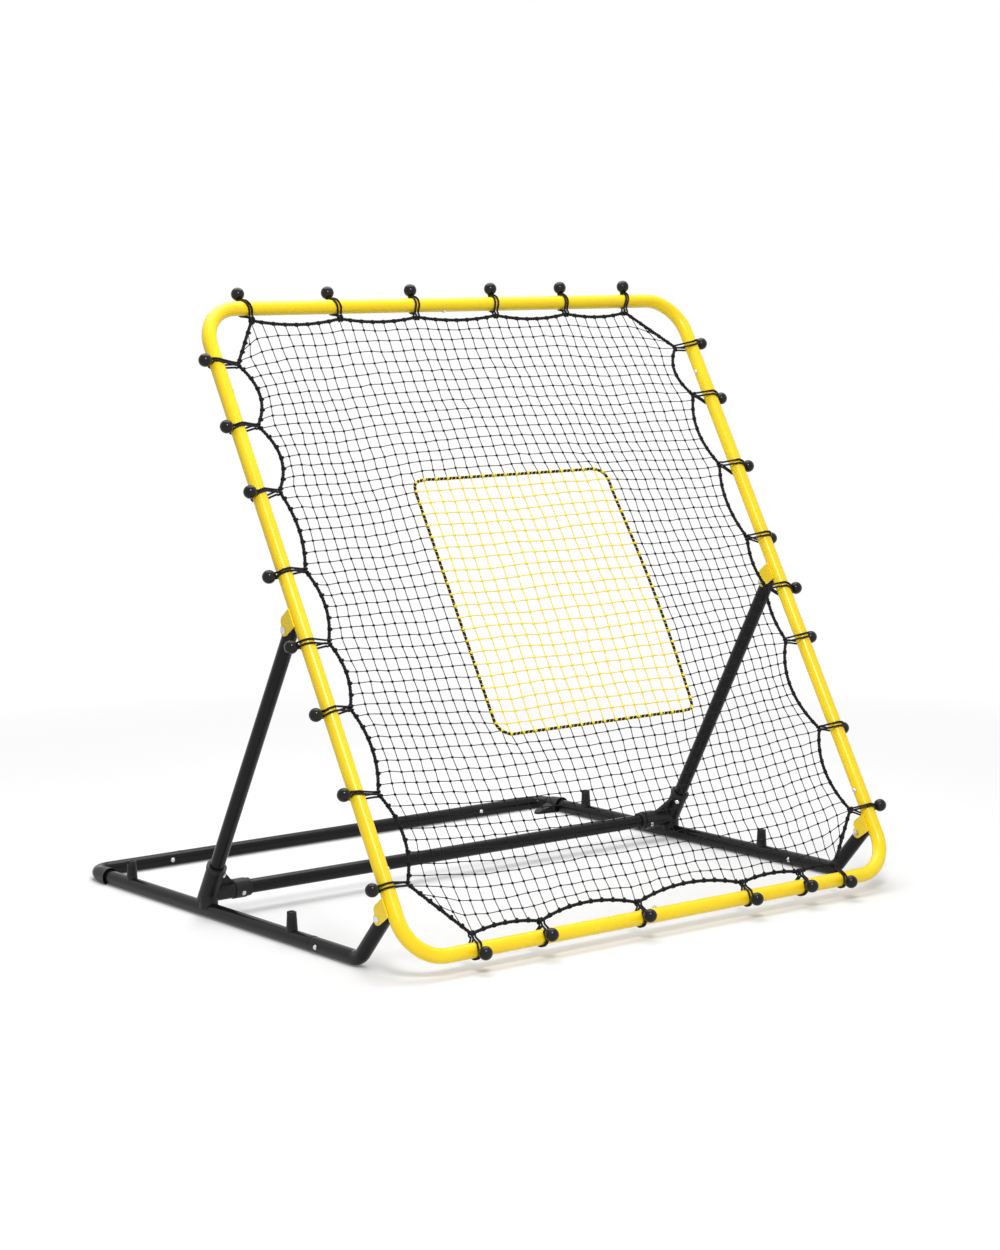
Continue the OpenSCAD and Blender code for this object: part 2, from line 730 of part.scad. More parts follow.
for (tie = LEFT_TIES) on_left(tie) ball(tie[1]);  // left_balls
for (tie = RIGHT_TIES) on_right(tie) ball(tie[1]);  // right_balls
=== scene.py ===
# %% [markdown]
# # Pitch back rebounder
#
# A leaning yellow tube frame with a net laced into it, held up from behind by a black prop
# on a black floor base. The steel and the mouldings come exactly sized from the CAD frame and
# only get finishes here. The soft half is built in this file: netting, rope, strike zone and
# elastic ties. Each cell does one step and prints what it made.

# %% Load the frame
import json
import math
import random

import bmesh
import bpy
import numpy as np
from mathutils import Matrix, Vector, noise


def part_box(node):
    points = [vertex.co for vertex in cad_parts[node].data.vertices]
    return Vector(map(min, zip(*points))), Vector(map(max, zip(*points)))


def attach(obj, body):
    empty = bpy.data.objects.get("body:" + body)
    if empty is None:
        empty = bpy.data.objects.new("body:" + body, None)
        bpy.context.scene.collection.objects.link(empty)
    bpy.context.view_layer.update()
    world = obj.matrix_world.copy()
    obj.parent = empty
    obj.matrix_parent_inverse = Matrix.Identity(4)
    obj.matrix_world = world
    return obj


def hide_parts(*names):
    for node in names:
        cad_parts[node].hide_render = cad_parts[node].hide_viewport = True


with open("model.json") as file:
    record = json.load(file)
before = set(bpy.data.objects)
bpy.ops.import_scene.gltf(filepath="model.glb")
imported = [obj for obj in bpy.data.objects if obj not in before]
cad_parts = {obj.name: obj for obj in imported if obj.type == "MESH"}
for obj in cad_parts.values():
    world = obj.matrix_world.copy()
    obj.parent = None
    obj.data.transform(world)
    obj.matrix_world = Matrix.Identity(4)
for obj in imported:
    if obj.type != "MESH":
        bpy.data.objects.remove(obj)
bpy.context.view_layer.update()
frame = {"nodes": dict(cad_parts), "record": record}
random.seed(11)
noise.seed_set(7)
NODES = frame["nodes"]
SLOT_OF = {row["node"]: row["material_slot"] for row in frame["record"]["subparts"]}

# %% [markdown]
# ## Where the net frame stands
#
# The net is easiest to draw flat, on the frame's own plane: u runs across, v runs up the frame
# and n points behind it. The plane's foot, lean and size are worked out from the boxes of the
# tubes, so nothing here has to be changed when the CAD part changes size.

# %% The frame's plane
side_low, side_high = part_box("left_side_tube")
TUBE_R = (side_high.x - side_low.x) / 2
SIDE_X = -(side_low.x + side_high.x) / 2
corner_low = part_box("bottom_left_corner")[0]
corner_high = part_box("top_left_corner")[1]
FOOT = Vector((0, corner_low.y + TUBE_R, corner_low.z + TUBE_R))
HEAD = Vector((0, corner_high.y - TUBE_R, corner_high.z - TUBE_R))
ACROSS = Vector((1, 0, 0))
UP = (HEAD - FOOT).normalized()
BEHIND = Vector((0, UP.z, -UP.y))
FRAME_H = (HEAD - FOOT).length


def on_frame(points):
    """World places of an array of (u, v, n)."""
    p = np.atleast_2d(np.asarray(points, float))
    axes = np.array([ACROSS, UP, BEHIND])
    return p @ axes + np.array(FOOT)


def off_frame(place):
    """(u, v, n) of a world place."""
    d = Vector(place) - FOOT
    return d.dot(ACROSS), d.dot(UP), d.dot(BEHIND)


print("frame", round(2 * SIDE_X, 4), "x", round(FRAME_H, 4), "lean", round(math.degrees(math.acos(UP.z)), 2))

# %% [markdown]
# ## Meshes from swept rings
#
# Twine, rope and elastic are all a round section carried along a line. One helper makes the
# rings, with an optional number of lobes that turn as they go, which is how three-strand rope
# looks. A curve object with a bevel would be quicker to write, but it can't twist its lobes,
# and a mesh is what leaves Blender in the end.


# %% Helpers that build meshes
def round_section(sides):
    angle = np.arange(sides) / sides * 2 * np.pi
    return np.cos(angle), np.sin(angle)


def ring_frames(path, closed, flat):
    """Two directions across the path at each of its points."""
    p = np.asarray(path, float)
    if closed:
        along = np.roll(p, -1, 0) - np.roll(p, 1, 0)
    else:
        along = np.gradient(p, axis=0)
    along /= np.linalg.norm(along, axis=1)[:, None]
    if flat is not None:
        a = np.cross(along, np.asarray(flat, float))
        a /= np.linalg.norm(a, axis=1)[:, None]
        return a, np.cross(along, a)
    seed = np.array([0.31, 0.52, 0.79])
    a = np.zeros_like(p)
    last = np.cross(along[0], seed)
    for k, t in enumerate(along):
        last = last - t * (last @ t)
        last /= np.linalg.norm(last)
        a[k] = last
    return a, np.cross(along, a)


class Mesher:
    """Collects points and faces of many small shapes into one mesh."""

    def __init__(self):
        self.points, self.faces, self.count = [], [], 0

    def add(self, points, faces):
        self.points.append(np.asarray(points, float))
        self.faces.extend((np.asarray(f) + self.count).tolist() for f in faces)
        self.count += len(points)

    def sweep(self, path, radius, sides=6, closed=False, flat=None, lobes=0, lobe=0.0, turns=0.0):
        p = np.asarray(path, float)
        n = len(p)
        a, b = ring_frames(p, closed, flat)
        angle = np.arange(sides) / sides * 2 * np.pi
        turn = np.linspace(0, turns * 2 * np.pi, n, endpoint=not closed)[:, None]
        r = np.broadcast_to(np.asarray(radius, float), (n,))[:, None]
        if lobes:
            r = r * (1 + lobe * np.cos(lobes * (angle[None, :] - turn)))
        else:
            r = np.repeat(r, sides, axis=1)
        ring = p[:, None, :] + (r * np.cos(angle))[..., None] * a[:, None, :]
        ring = ring + (r * np.sin(angle))[..., None] * b[:, None, :]
        last = n if closed else n - 1
        k = np.arange(last)[:, None] * sides
        j = np.arange(sides)[None, :]
        nxt = (np.arange(last)[:, None] + 1) % n * sides
        j2 = (j + 1) % sides
        quads = np.stack([k + j, k + j2, nxt + j2, nxt + j], -1).reshape(-1, 4)
        faces = list(quads)
        if not closed:
            faces.append(np.arange(sides)[::-1])
            faces.append(np.arange(sides) + (n - 1) * sides)
        self.add(ring.reshape(-1, 3), faces)

    def stamp(self, shape, places):
        """Repeats a small shape, (points, faces), at each 3 x 4 matrix of places."""
        points, faces = shape
        for m in places:
            self.add(points @ m[:, :3].T + m[:, 3], faces)

    def finish(self, name, material, slot, body="net_frame"):
        mesh = bpy.data.meshes.new(name)
        mesh.from_pydata(np.concatenate(self.points).tolist(), [], self.faces)
        mesh.polygons.foreach_set("use_smooth", [True] * len(mesh.polygons))
        mesh.materials.append(material)
        mesh.update()
        piece = bpy.data.objects.new(name, mesh)
        bpy.context.scene.collection.objects.link(piece)
        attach(piece, body)
        print(name, len(mesh.vertices), "points", len(mesh.polygons), "faces")
        return piece


def smooth_path(points, steps, closed=False):
    """A line that runs smoothly through the points, with that many steps between two."""
    p = np.asarray(points, float)
    if closed:
        q = np.concatenate([p[-1:], p, p[:2]])
    else:
        q = np.concatenate([2 * p[:1] - p[1:2], p, 2 * p[-1:] - p[-2:-1]])
    t = (np.arange(steps) / steps)[:, None]
    out = []
    for k in range(len(q) - 3):
        a, b, c, d = q[k : k + 4]
        out.append(0.5 * (2 * b + (c - a) * t + (2 * a - 5 * b + 4 * c - d) * t**2 + (3 * b - a - 3 * c + d) * t**3))
    out = np.concatenate(out)
    return out if closed else np.concatenate([out, p[-1:]])


def even_points(path, count):
    """That many steps of equal length along a line, ends included."""
    p = np.asarray(path, float)
    run = np.concatenate([[0], np.cumsum(np.linalg.norm(np.diff(p, axis=0), axis=1))])
    at = np.linspace(0, run[-1], count + 1)
    return np.stack([np.interp(at, run, p[:, k]) for k in range(p.shape[1])], 1)


print("mesh helpers ready")

# %% [markdown]
# ## Shared finishes
#
# Three effects are used by more than one finish, so each is a node group with named inputs:
# the orange peel of a powder coat, the fine grain of a moulded part, and the braid of cords.
# They put out a colour, a roughness and a height. The braid's colour also holds painted shade,
# darker in the grooves between its strands. The shader itself stays in each material.


# %% Node helpers and the three shared groups
def put(tree, kind, settings=None, **inputs):
    """Adds a node. Inputs are values, or sockets to link from."""
    node = tree.nodes.new(kind)
    for key, value in (settings or {}).items():
        setattr(node, key, value)
    for key, value in inputs.items():
        socket = node.inputs[int(key[1:])] if key[0] == "_" and key[1:].isdigit() else node.inputs[key.replace("_", " ")]
        if isinstance(value, bpy.types.NodeSocket):
            tree.links.new(value, socket)
        else:
            socket.default_value = value
    return node


def new_group(name, floats, colours):
    group = bpy.data.node_groups.new(name, "ShaderNodeTree")
    for key, value in colours.items():
        s = group.interface.new_socket(key, in_out="INPUT", socket_type="NodeSocketColor")
        s.default_value = (*value, 1)
    for key, value in floats.items():
        s = group.interface.new_socket(key, in_out="INPUT", socket_type="NodeSocketFloat")
        s.default_value = value
    group.interface.new_socket("Color", in_out="OUTPUT", socket_type="NodeSocketColor")
    group.interface.new_socket("Roughness", in_out="OUTPUT", socket_type="NodeSocketFloat")
    group.interface.new_socket("Height", in_out="OUTPUT", socket_type="NodeSocketFloat")
    return group, group.nodes.new("NodeGroupInput"), group.nodes.new("NodeGroupOutput")


def noise_of(tree, vector, scale, detail=2.0):
    return put(tree, "ShaderNodeTexNoise", Vector=vector, Scale=scale, Detail=detail).outputs["Fac"]


def mapped(tree, value, low, high, to_low, to_high):
    node = put(tree, "ShaderNodeMapRange", _0=value, _1=low, _2=high, _3=to_low, _4=to_high)
    return node.outputs[0]


def math_of(tree, operation, a, b):
    return put(tree, "ShaderNodeMath", {"operation": operation}, _0=a, _1=b).outputs[0]


def mix_colour(tree, factor, a, b, blend="MIX"):
    node = put(tree, "ShaderNodeMix", {"data_type": "RGBA", "blend_type": blend}, _0=factor)
    for socket, value in ((node.inputs[6], a), (node.inputs[7], b)):
        if isinstance(value, bpy.types.NodeSocket):
            tree.links.new(value, socket)
        else:
            socket.default_value = (*value, 1)
    return node.outputs[2]


def finish_group(group, out, colour, roughness, height):
    for key, value in (("Color", colour), ("Roughness", roughness), ("Height", height)):
        group.links.new(value, out.inputs[key])
    return group


def powder_coat_group():
    g, i, o = new_group("Powder coat", {"Roughness": 0.3, "Variation": 0.05, "Dust": 0.1}, {"Color": (1, 1, 1), "Shade": (0, 0, 0)})
    where = put(g, "ShaderNodeTexCoord").outputs["Object"]
    peel = noise_of(g, where, 120.0, 0.0)
    cloud = noise_of(g, where, 9.0, 3.0)
    rub = noise_of(g, where, 22.0, 2.0)
    tone = mapped(g, cloud, 0.3, 0.7, 0.0, 1.0)
    colour = mix_colour(g, math_of(g, "MULTIPLY", tone, i.outputs["Variation"]), i.outputs["Color"], i.outputs["Shade"])
    up = put(g, "ShaderNodeSeparateXYZ", Vector=put(g, "ShaderNodeNewGeometry").outputs["Normal"]).outputs["Z"]
    settled = math_of(g, "MULTIPLY", mapped(g, up, 0.2, 1.0, 0.0, 1.0), mapped(g, rub, 0.45, 0.7, 0.0, 1.0))
    colour = mix_colour(g, math_of(g, "MULTIPLY", settled, i.outputs["Dust"]), colour, (0.55, 0.53, 0.5))
    rough = math_of(g, "ADD", i.outputs["Roughness"], mapped(g, rub, 0.35, 0.75, -0.03, 0.05))
    return finish_group(g, o, colour, rough, peel)


def moulded_grain_group():
    g, i, o = new_group("Moulded grain", {"Roughness": 0.5, "Grain size": 900.0, "Wear": 0.2}, {"Color": (1, 1, 1)})
    where = put(g, "ShaderNodeTexCoord").outputs["Object"]
    cells = put(g, "ShaderNodeTexVoronoi", Vector=where, Scale=i.outputs["Grain size"]).outputs["Distance"]
    cloud = noise_of(g, where, 35.0, 4.0)
    edge = put(g, "ShaderNodeNewGeometry").outputs["Pointiness"]
    worn = math_of(g, "MULTIPLY", mapped(g, edge, 0.52, 0.6, 0.0, 1.0), i.outputs["Wear"])
    pale = mix_colour(g, mapped(g, cloud, 0.35, 0.7, 0.0, 0.35), i.outputs["Color"], (0.025, 0.025, 0.026))
    colour = mix_colour(g, worn, pale, (0.16, 0.16, 0.165))
    rough = math_of(g, "ADD", i.outputs["Roughness"], mapped(g, cloud, 0.3, 0.7, -0.06, 0.08))
    return finish_group(g, o, colour, rough, cells)


def braid_group():
    g, i, o = new_group("Braid with groove shade", {"Roughness": 0.8, "Pitch": 300.0, "Fuzz": 0.3}, {"Color": (1, 1, 1), "Shade": (0, 0, 0)})
    where = put(g, "ShaderNodeTexCoord").outputs["Object"]
    one = put(g, "ShaderNodeTexWave", {"bands_direction": "DIAGONAL"}, Vector=where, Scale=i.outputs["Pitch"], Distortion=1.5).outputs["Fac"]
    hairs = noise_of(g, where, 1900.0, 3.0)
    lay = math_of(g, "ADD", math_of(g, "MULTIPLY", one, 0.7), math_of(g, "MULTIPLY", hairs, i.outputs["Fuzz"]))
    # Painted shade: the colour runs toward Shade where the height is low, in the grooves between strands
    colour = mix_colour(g, mapped(g, lay, 0.1, 0.9, 1.0, 0.0), i.outputs["Color"], i.outputs["Shade"])
    rough = math_of(g, "ADD", i.outputs["Roughness"], mapped(g, hairs, 0.3, 0.7, -0.08, 0.08))
    return finish_group(g, o, colour, rough, lay)


POWDER, MOULDED, BRAID = powder_coat_group(), moulded_grain_group(), braid_group()
print("groups", [g.name for g in (POWDER, MOULDED, BRAID)])

# %% [markdown]
# ## The finishes
#
# Yellow frame: glossy powder coat, so a clear coat over an orange peel that is only just felt.
# Black base and prop: the same coat, satin and duller, which gives the tubes their dark core
# and pale edges. Mouldings are grained nylon, screws are bright zinc. Twine and rope are rough
# and dark, and the balls are polished.


# %% Build the materials
def new_material(name, group, values, peel, **shader):
    """A Principled material whose colour, roughness and bump come from a shared group."""
    material = bpy.data.materials.new(name)
    material.use_nodes = True
    tree = material.node_tree
    bsdf = tree.nodes["Principled BSDF"]
    source = tree.nodes.new("ShaderNodeGroup")
    source.node_tree = group
    for key, value in values.items():
        source.inputs[key].default_value = (*value, 1) if isinstance(value, tuple) else value
    tree.links.new(source.outputs["Color"], bsdf.inputs["Base Color"])
    tree.links.new(source.outputs["Roughness"], bsdf.inputs["Roughness"])
    bump = put(tree, "ShaderNodeBump", Height=source.outputs["Height"], Strength=peel[0], Distance=peel[1])
    tree.links.new(bump.outputs["Normal"], bsdf.inputs["Normal"])
    for key, value in shader.items():
        bsdf.inputs[key.replace("_", " ")].default_value = value
    return material


FINISHES = {
    "yellow_frame": new_material(
        "Yellow powder coat", POWDER,
        {"Color": (0.97, 0.71, 0.007), "Shade": (0.93, 0.6, 0.004), "Roughness": 0.28, "Variation": 0.45, "Dust": 0.0},
        (0.02, 0.0003), Specular_IOR_Level=0.3, Coat_Weight=0.2, Coat_Roughness=0.18,
    ),
    "black_tube": new_material(
        "Black powder coat", POWDER,
        {"Color": (0.005, 0.0048, 0.0055), "Shade": (0.009, 0.009, 0.0098), "Roughness": 0.2, "Variation": 0.6, "Dust": 0.01},
        (0.03, 0.0003), Specular_IOR_Level=0.17,
    ),
    "black_plastic": new_material(
        "Black moulded nylon", MOULDED, {"Color": (0.0065, 0.0065, 0.007), "Roughness": 0.38, "Wear": 0.06}, (0.2, 0.0003),
        Specular_IOR_Level=0.2,
    ),
    "zinc_steel": new_material(
        "Bright zinc", MOULDED, {"Color": (0.72, 0.72, 0.73), "Roughness": 0.22, "Wear": 0.0, "Grain size": 300.0},
        (0.05, 0.0002), Metallic=1.0,
    ),
    # The Shade colours of twine, rope and elastic are painted shade for the grooves between strands
    "black_net": new_material(
        "Black twine", BRAID, {"Color": (0.014, 0.014, 0.015), "Shade": (0.004, 0.004, 0.004), "Roughness": 0.75, "Pitch": 500.0},
        (0.4, 0.0003), Specular_IOR_Level=0.15,
    ),
    "black_rope": new_material(
        "Black rope", BRAID, {"Color": (0.016, 0.016, 0.017), "Shade": (0.004, 0.004, 0.004), "Roughness": 0.8, "Pitch": 220.0, "Fuzz": 0.5},
        (0.6, 0.0006), Specular_IOR_Level=0.15,
    ),
    "yellow_net": new_material(
        "Yellow twine", BRAID, {"Color": (1.0, 0.82, 0.02), "Shade": (0.93, 0.66, 0.006), "Roughness": 0.7, "Pitch": 500.0},
        (0.4, 0.0003),
    ),
    "elastic": new_material(
        "Black elastic", BRAID, {"Color": (0.013, 0.013, 0.014), "Shade": (0.004, 0.004, 0.004), "Roughness": 0.6, "Pitch": 400.0},
        (0.5, 0.0004), Specular_IOR_Level=0.2,
    ),
    "ball": new_material(
        "Polished black ball", MOULDED, {"Color": (0.005, 0.005, 0.0055), "Roughness": 0.09, "Wear": 0.05, "Grain size": 200.0},
        (0.01, 0.0002), Specular_IOR_Level=0.24,
    ),
}
for name, node in NODES.items():
    node.data.materials.clear()
    node.data.materials.append(FINISHES[SLOT_OF[name]])
    node.data.polygons.foreach_set("use_smooth", [True] * len(node.data.polygons))
    node.data.set_sharp_from_angle(angle=math.radians(32))
print(len(FINISHES), "finishes on", len(NODES), "nodes")

# %% [markdown]
# ## Seams in the black tubes
#
# The floor base is plugged together from lengths of tube. Each joint shows as a fine dark line
# with a slight bead where the outer tube was pressed onto the inner one. The tube itself stays
# the exact CAD one, and the bead is a thin ring laid round it, so that the seam catches light.

# %% Beads round the tube joints
BEAD_R = 0.0006
BEAD_SINK = 0.0003
BEAD_GAP = 0.0045


def bead(mesher, middle, axis, radius):
    """A thin ring round a tube, across its axis."""
    a = Vector(axis).orthogonal().normalized()
    b = Vector(axis).normalized().cross(a)
    turn = np.arange(40) / 40 * 2 * np.pi
    ring = np.array(middle) + radius * (np.cos(turn)[:, None] * np.array(a) + np.sin(turn)[:, None] * np.array(b))
    mesher.sweep(ring, BEAD_R, sides=6, closed=True)


seams = Mesher()
bar_low, bar_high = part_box("rear_bar")
bar_axis = (bar_low + bar_high) / 2
BASE_R = (bar_high.z - bar_low.z) / 2
for side in ("left", "right"):
    rail_low, rail_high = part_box(side + "_rail")
    rail_x = (rail_low.x + rail_high.x) / 2
    elbow_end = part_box(side + "_elbow")[1].y
    corner_low, corner_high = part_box(side + "_rear_corner")
    corner_end = corner_high.x if side == "left" else corner_low.x
    for offset in (0.0, BEAD_GAP):
        bead(seams, (rail_x, elbow_end + offset, BASE_R + BEAD_SINK), (0, 1, 0), BASE_R - BEAD_SINK)
        inset = math.copysign(offset, corner_end)
        bead(seams, (corner_end - inset, bar_axis.y, BASE_R + BEAD_SINK), (1, 0, 0), BASE_R - BEAD_SINK)
seams.finish("tube_seams", FINISHES["black_tube"], "black_tube", body="base")
print("seam rings", seams.count // 240, "tube radius", round(BASE_R, 4))

# %% [markdown]
# ## Where the ties are
#
# The elastic ties are spaced by hand, unevenly. Their balls are CAD spheres, each a separate
# island of its node's mesh, so the ties' places can be read back from the balls: the middle of
# each island gives how far along the tube the tie sits and how far the ball is turned to the
# front.


# %% Find the balls
def island_middles(node, reach):
    """Middles of the parts of a node's mesh that lie further apart than reach."""
    points = np.array([v.co for v in NODES[node].data.vertices])
    found = []
    while len(points):
        near = np.linalg.norm(points - points[0], axis=1) < reach
        part = points[near]
        found.append(Vector((part.min(0) + part.max(0)) / 2))
        points = points[~near]
    return found


BALL_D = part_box("top_balls")[1].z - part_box("top_balls")[0].z
BALL_R = 0.013
ROPE_R = 0.0035
ROPE_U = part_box("border_rope")[1].x - ROPE_R
ROPE_TOP = FRAME_H - 0.027
ROPE_BOTTOM = 0.030
SIDES = {
    "bottom": (UP, -ACROSS, lambda u, v: (u, 0.0), lambda u, v: (u, ROPE_BOTTOM)),
    "right": (-ACROSS, UP, lambda u, v: (SIDE_X, v), lambda u, v: (ROPE_U, v)),
    "top": (-UP, ACROSS, lambda u, v: (u, FRAME_H), lambda u, v: (u, ROPE_TOP)),
    "left": (ACROSS, UP, lambda u, v: (-SIDE_X, v), lambda u, v: (-ROPE_U, v)),
}
# How far each tie's rope end lies from its ball along the tube, in mm: +u or +v
LEANS = {
    "bottom": [4, 10, 8, 3, 10, -1],
    "right": [3, 3, -3, 10, 2, 8, 9, -8],
    "top": [12, 9, -2, -3, -1, -10],
    "left": [0, -5, 4, -3, 3, 4, 3, -7],
}
# Half the gap between the two strands over the tube's front, in mm: some lie side by side
SPREADS = {
    "bottom": [4, 4, 3, 4, 3, 3],
    "right": [2.2, 4, 4, 4, 4, 4, 4, 4],
    "top": [3, 4, 4, 4, 3, 3],
    "left": [4, 2.3, 4, 4, 2.6, 2.3, 2.3, 2.3],
}
ties = {}
for side, (inward, along, tube_at, rope_at) in SIDES.items():
    rows = []
    for middle in island_middles(side + "_balls", 0.04):
        u, v, n = off_frame(middle)
        axis_u, axis_v = tube_at(u, v)
        out = Vector((u - axis_u, v - axis_v, n))
        inward_flat = Vector((inward.dot(ACROSS), inward.dot(UP), 0))
        turn = math.atan2(-n, -out.dot(inward_flat))
        rows.append({"u": u, "v": v, "axis": (axis_u, axis_v), "reach": out.length, "turn": turn, "middle": middle})
    rows.sort(key=lambda r: r["u"] if side in ("bottom", "top") else r["v"])
    for row, lean, spread in zip(rows, LEANS[side], SPREADS[side]):
        du, dv = (lean / 1000, 0) if side in ("bottom", "top") else (0, lean / 1000)
        row["rope"] = rope_at(row["u"] + du, row["v"] + dv)
        row["lean"], row["spread"] = lean / 1000, spread / 1000
    ties[side] = rows
print({side: len(rows) for side, rows in ties.items()}, "turns", [round(math.degrees(r["turn"])) for r in ties["left"]])

# %% [markdown]
# ## The border rope
#
# The net hangs in a rope that the ties pull outward, so it curves inward between every two
# ties: deep scallops up the sides, shallow ones along the top, straight across the corners.
# A parabola is the right curve for an evenly loaded rope. It is drawn as three-strand rope.


# %% The rope's line
# How deep the rope sags between each two ties, in mm: from -u to +u, or upward
DIPS = {
    "bottom": [9, 19, 20, 8, 5],
    "right": [28, 35, 11, 11, 19, 25, 27],
    "top": [11, 9, 9, 10, 9],
    "left": [25, 19, 17, 19, 16, 28, 27],
}
SPAN_STEPS = 12


def scallop(a, b, dip):
    """Points from a to b on a parabola that sags to the left of the way there."""
    a, b = np.array(a), np.array(b)
    side = np.array([a[1] - b[1], b[0] - a[0]]) / np.linalg.norm(b - a)
    t = (np.arange(SPAN_STEPS) / SPAN_STEPS)[:, None]
    return a + (b - a) * t + side * dip * 4 * t * (1 - t)


knots, dips = [], []
for side, backwards in (("bottom", False), ("right", False), ("top", True), ("left", True)):
    row = [r["rope"] for r in ties[side]]
    depth = [d / 1000 for d in DIPS[side]]
    knots += row[::-1] if backwards else row
    dips += (depth[::-1] if backwards else depth) + [0.0]
rope_line = np.concatenate([scallop(knots[k], knots[(k + 1) % len(knots)], dips[k]) for k in range(len(knots))])
print("rope", len(rope_line), "points, around", round(float(np.linalg.norm(np.diff(rope_line, axis=0), axis=1).sum()), 2), "m")

# %% [markdown]
# ## The netting
#
# The real net is a plain rectangle of square meshes, 41 across and 54 up, knotted at each
# crossing. Its outermost meshes are threaded on the rope, so the scallops squeeze and bend the
# rows near the edge. A cloth simulation could find that shape, but the meshes are open, and
# the pull is even in all directions: each knot then rests in the middle of its four
# neighbours, and repeating just that rule a few hundred times gives the shape exactly.

# %% Relax the knots
COLS, ROWS = 41, 54
ZONE_W, ZONE_H = 0.486, 0.540
ZONE_RADII = {(-1, 1): 0.022, (1, 1): 0.030, (1, -1): 0.014, (-1, -1): 0.034}
ZONE_BOW = 0.012
ZONE_SHIFT = (0.006, 0.008)
ZONE_COLS, ZONE_ROWS = (12, 29), (16, 38)
SAG = 0.010

count = [len(ties[s]) for s in ("bottom", "right", "top", "left")]
ends = np.cumsum(count) - 1


def corner_between(k):
    """Index, on the rope's line, of the middle of the corner stretch after knot k."""
    return (k * SPAN_STEPS + SPAN_STEPS // 2) % len(rope_line)


marks = [corner_between(e) for e in ends]


def stretch(start, stop):
    stop = stop if stop > start else stop + len(rope_line)
    return rope_line[np.arange(start, stop + 1) % len(rope_line)]


edge_right = even_points(stretch(marks[0], marks[1]), ROWS)
edge_top = even_points(stretch(marks[1], marks[2]), COLS)[::-1]
edge_left = even_points(stretch(marks[2], marks[3]), ROWS)[::-1]
edge_bottom = even_points(stretch(marks[3], marks[0]), COLS)

grid = np.zeros((COLS + 1, ROWS + 1, 2))
s = np.linspace(0, 1, COLS + 1)[:, None, None]
t = np.linspace(0, 1, ROWS + 1)[None, :, None]
grid[:] = (1 - s) * edge_left[None] + s * edge_right[None]
fixed = np.zeros((COLS + 1, ROWS + 1), bool)
grid[0], grid[-1], grid[:, 0], grid[:, -1] = edge_left, edge_right, edge_bottom, edge_top
fixed[0] = fixed[-1] = True
fixed[:, 0] = fixed[:, -1] = True


def zone_place(i, j):
    """Place of a knot on the strike zone's edge, with the corners rounded."""
    a = (i - ZONE_COLS[0]) / (ZONE_COLS[1] - ZONE_COLS[0]) * 2 - 1
    b = (j - ZONE_ROWS[0]) / (ZONE_ROWS[1] - ZONE_ROWS[0]) * 2 - 1
    x, y = a * ZONE_W / 2, b * ZONE_H / 2
    radius = ZONE_RADII[(1 if a > 0 else -1, 1 if b > 0 else -1)]
    inner_x, inner_y = ZONE_W / 2 - radius, ZONE_H / 2 - radius
    over_x, over_y = max(abs(x) - inner_x, 0), max(abs(y) - inner_y, 0)
    if over_x and over_y:
        pull = min(1.0, radius / math.hypot(over_x, over_y))
        x = math.copysign(inner_x + over_x * pull, x)
        y = math.copysign(inner_y + over_y * pull, y)
    x += ZONE_BOW * max(0.0, a) * math.cos(math.pi / 2 * min(1.0, abs(b + 0.2)))
    return x + ZONE_SHIFT[0], y + FRAME_H / 2 + ZONE_SHIFT[1]


zone_ring = [(i, ZONE_ROWS[0]) for i in range(ZONE_COLS[0], ZONE_COLS[1])]
zone_ring += [(ZONE_COLS[1], j) for j in range(ZONE_ROWS[0], ZONE_ROWS[1])]
zone_ring += [(i, ZONE_ROWS[1]) for i in range(ZONE_COLS[1], ZONE_COLS[0], -1)]
zone_ring += [(ZONE_COLS[0], j) for j in range(ZONE_ROWS[1], ZONE_ROWS[0], -1)]
for i, j in zone_ring:
    grid[i, j] = zone_place(i, j)
    fixed[i, j] = True
free = ~fixed[1:-1, 1:-1]
for _ in range(900):
    middle = (grid[2:, 1:-1] + grid[:-2, 1:-1] + grid[1:-1, 2:] + grid[1:-1, :-2]) / 4
    grid[1:-1, 1:-1][free] = middle[free]

# Hand-made knots aren't perfectly even, and the net hangs back a little between its edges
knot = np.zeros((COLS + 1, ROWS + 1, 3))
for i in range(COLS + 1):
    for j in range(ROWS + 1):
        u, v = grid[i, j]
        wander = Vector((0, 0, 0))
        if not fixed[i, j]:
            slow = noise.noise_vector(Vector((u * 7, v * 7, 0.3)))
            wander = slow * 0.0045 + Vector([random.uniform(-1, 1) for _ in range(3)]) * 0.0011
        inside = min(i, COLS - i, 8) / 8 * min(j, ROWS - j, 8) / 8
        knot[i, j] = (u + wander.x, v + wander.y, wander.z * 0.8 + SAG * inside)
print("knots", knot.shape[0] * knot.shape[1], "mesh about", round(2 * ROPE_U / COLS * 1000), "mm")

# %% [markdown]
# Each line of twine is swept through its knots with a little bow between two. Where the strike
# zone sits, the black lines stop at its hem. A knot is a small lump, wider than it is thick,
# from a subdivided icosahedron, stamped at every crossing with its own turn.


# %% Twine and knots
def lump(size, seed):
    """A small knot: a ball of 42 points, pushed about a little."""
    bm = bmesh.new()
    bmesh.ops.create_icosphere(bm, subdivisions=2, radius=1.0)
    points = np.array([v.co for v in bm.verts])
    faces = [np.array([v.index for v in f.verts]) for f in bm.faces]
    bm.free()
    rough = np.array([1 + 0.18 * noise.noise(Vector(p) * 2.1 + Vector((seed, 0, 0))) for p in points])
    return points * rough[:, None] * np.array(size), faces


AXES = np.array([ACROSS, UP, BEHIND]).T


